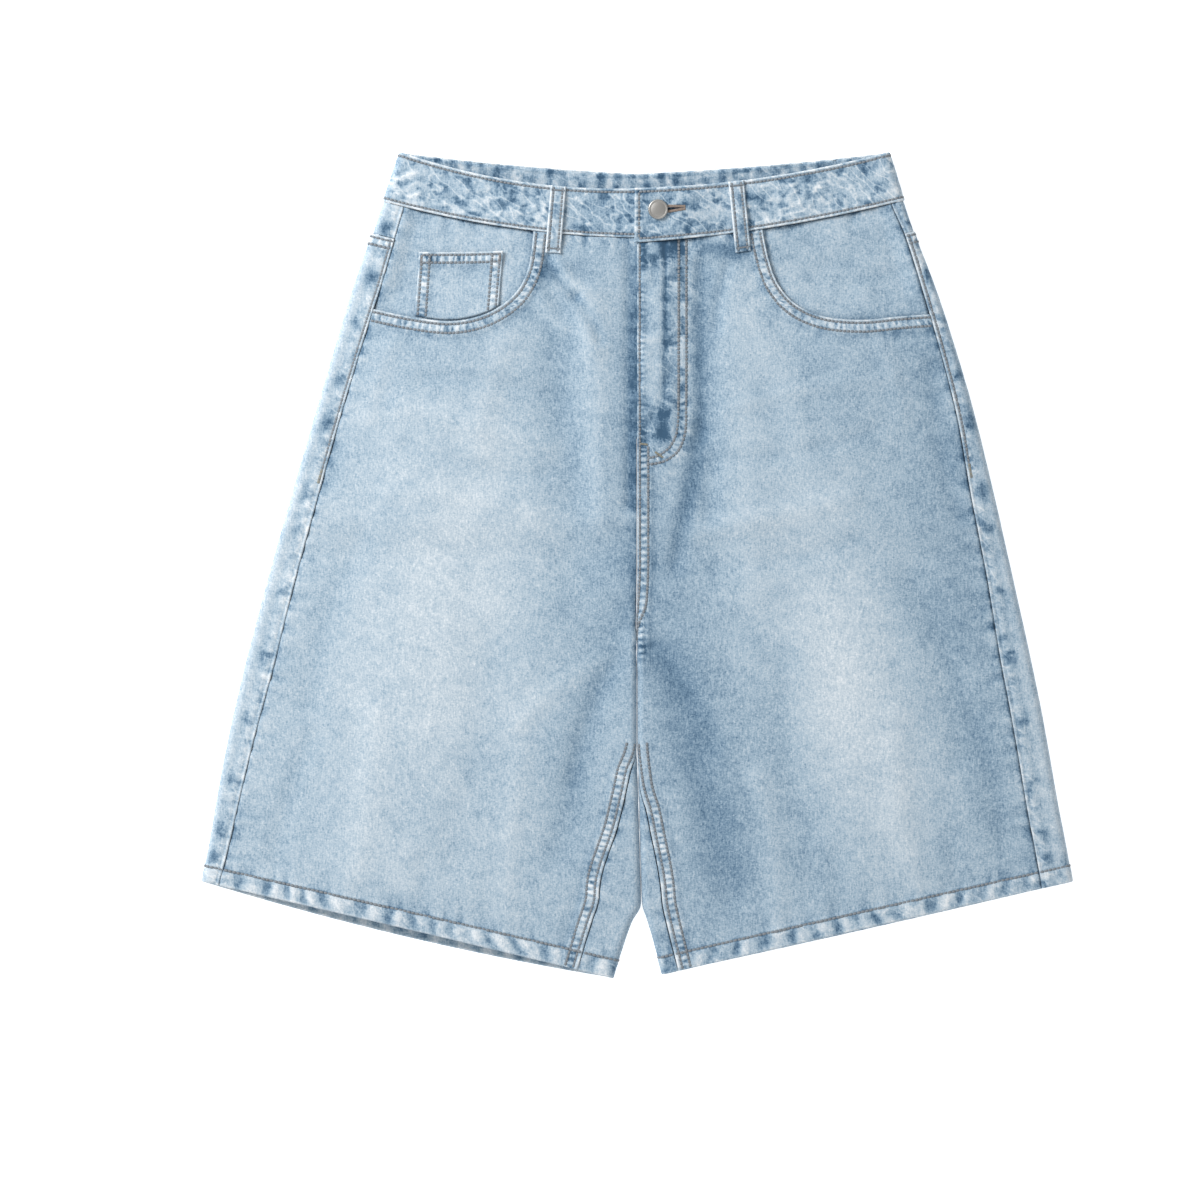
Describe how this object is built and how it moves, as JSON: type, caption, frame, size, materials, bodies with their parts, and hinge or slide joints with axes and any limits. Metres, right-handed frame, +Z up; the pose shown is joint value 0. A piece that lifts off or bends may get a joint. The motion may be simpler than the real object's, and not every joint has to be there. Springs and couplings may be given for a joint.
{
  "type": "denim shorts",
  "caption": "Knee-length denim shorts laid flat front side up, with scoop pockets, coin pocket, belt loops, a buttoned waistband, a closed fly and open legs.",
  "frame": {"origin": "middle of the underside of the shorts' box, on the surface they lie on", "axes": "+X to the wearer's left, +Y up to the waistband, +Z up from the surface, the front of the shorts facing up"},
  "size_m": [0.6984, 0.6614, 0.0195],
  "materials": {
    "denim_front": "washed light blue denim twill, paler on the thighs",
    "denim_back": "washed blue denim twill with darker puckers along the seams",
    "denim_band": "washed denim, crinkled and marled where it is doubled",
    "thread": "matt grey-brown sewing thread",
    "button_metal": "satin grey metal, plain"
  },
  "bodies": {
    "root": {"waistband": "denim_band", "front_panel_right": "denim_front", "front_panel_left": "denim_front", "pocket_facing_right": "denim_front", "pocket_facing_left": "denim_front", "coin_pocket": "denim_front", "back_yoke_right": "denim_back", "back_yoke_left": "denim_back", "back_panel_right": "denim_back", "back_panel_left": "denim_back", "back_pocket_right": "denim_back", "back_pocket_left": "denim_back", "belt_loop_front_right": "denim_band", "belt_loop_front_left": "denim_band", "belt_loop_back_centre": "denim_band", "belt_loop_back_right": "denim_band", "belt_loop_back_left": "denim_band", "button": "button_metal"}
  },
  "joints": []
}
